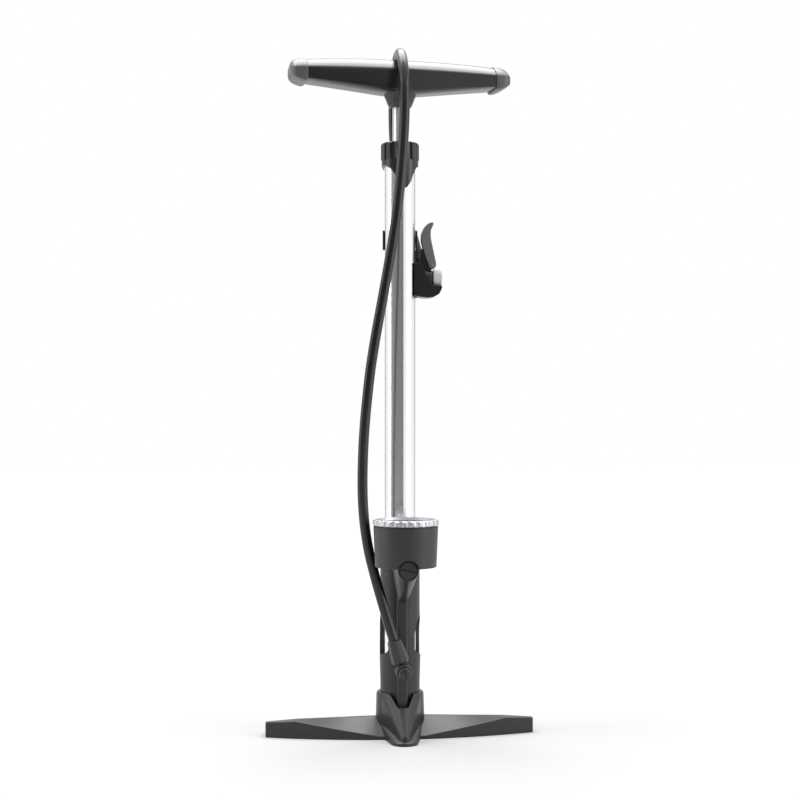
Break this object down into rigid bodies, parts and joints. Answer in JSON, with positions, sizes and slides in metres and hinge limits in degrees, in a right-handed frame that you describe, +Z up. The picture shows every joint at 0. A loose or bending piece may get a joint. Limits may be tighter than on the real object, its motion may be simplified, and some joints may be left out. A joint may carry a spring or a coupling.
{
  "type": "floor bike pump",
  "caption": "Upright bicycle floor pump with a two-winged foot, base gauge, clipped pump head and a hose hooked over its T handle.",
  "frame": {"origin": "on the floor, on the axis of the barrel", "axes": "+Z up along the barrel, +X to the right of someone who faces the gauge, -Y to the front, where the gauge is"},
  "size_m": [0.252, 0.135, 0.6424],
  "materials": {
    "black_plastic": "semi-gloss black moulding",
    "sleeve_plastic": "semi-gloss black moulding",
    "gauge_plastic": "satin dark grey moulding",
    "grip_plastic": "satin dark moulding",
    "silver_tube": "polished",
    "steel": "bright",
    "brass": "turned",
    "chrome": "bright plated",
    "rubber": "matte",
    "hose_rubber": "satin black hose",
    "dial_white": "matte white",
    "needle_red": "satin red",
    "clear": "clear",
    "pale_plastic": "satin light grey",
    "felt": "felt",
    "nylon": "natural nylon"
  },
  "bodies": {
    "pump_base": {"foot": "black_plastic", "foot_screw_1": "steel", "foot_screw_2": "steel", "foot_screw_3": "steel", "sleeve": "sleeve_plastic", "barrel": "silver_tube", "barrel_foot": "brass", "barrel_foot_seal": "rubber", "check_plug": "brass", "check_spring": "steel", "gauge_housing": "gauge_plastic", "gauge_stem": "brass", "bourdon_tube": "brass", "gauge_dial": "dial_white", "gauge_lens": "clear", "gauge_bezel": "chrome", "port_plug": "gauge_plastic", "port_plug_seal": "rubber", "hose_fitting": "black_plastic", "fitting_bolt": "brass", "fitting_washer_front": "rubber", "fitting_washer_rear": "rubber", "hose_boot": "black_plastic", "hose": "hose_rubber", "cap_nut": "black_plastic", "cap_collar": "black_plastic", "rod_bush": "brass", "rod_wiper": "felt", "head_clip": "black_plastic", "head_body": "black_plastic", "hose_ferrule": "black_plastic", "lever_pin": "steel", "nozzle_nut": "pale_plastic", "head_gasket": "rubber"},
    "piston_group": {"piston": "nylon", "piston_seal": "rubber", "piston_band": "nylon"},
    "handle_group": {"rod": "silver_tube", "handle": "black_plastic", "handle_cap_left": "grip_plastic", "handle_cap_right": "grip_plastic", "handle_pin": "steel"},
    "needle": {"gauge_needle": "needle_red"},
    "lever": {"head_lever": "black_plastic"},
    "plunger": {"head_plunger": "brass"},
    "valve_ball": {"check_ball": "steel"}
  },
  "joints": [
    {"name": "pump_stroke", "type": "slide", "parent": "pump_base", "child": "piston_group", "axis": [0, 0, 1], "range_m": [0, 0.43], "deforming": ["hose"]},
    {"name": "handle_turn", "type": "hinge", "parent": "piston_group", "child": "handle_group", "pos_m": [0, 0, 0.3], "axis": [0, 0, 1], "range_deg": [-40, 30]},
    {"name": "needle_turn", "type": "hinge", "parent": "pump_base", "child": "needle", "pos_m": [0, -0.055, 0.196], "axis": [0, 0, -1], "range_deg": [0, 270]},
    {"name": "lever_turn", "type": "hinge", "parent": "pump_base", "child": "lever", "pos_m": [0.0302, 0, 0.441], "axis": [0, 1, 0], "range_deg": [0, 100]},
    {"name": "plunger_slide", "type": "slide", "parent": "pump_base", "child": "plunger", "axis": [-1, 0, 0], "range_m": [0, 0.002]},
    {"name": "valve_lift", "type": "slide", "parent": "pump_base", "child": "valve_ball", "axis": [0, 0, -1], "range_m": [0, 0.002], "stiffness_N_per_m": 40, "springref_m": -0.001, "deforming": ["check_spring"]}
  ],
  "couplings": [
    {"joint": "plunger_slide", "follows": "lever_turn", "m_per_rad": 0.0011459}
  ]
}
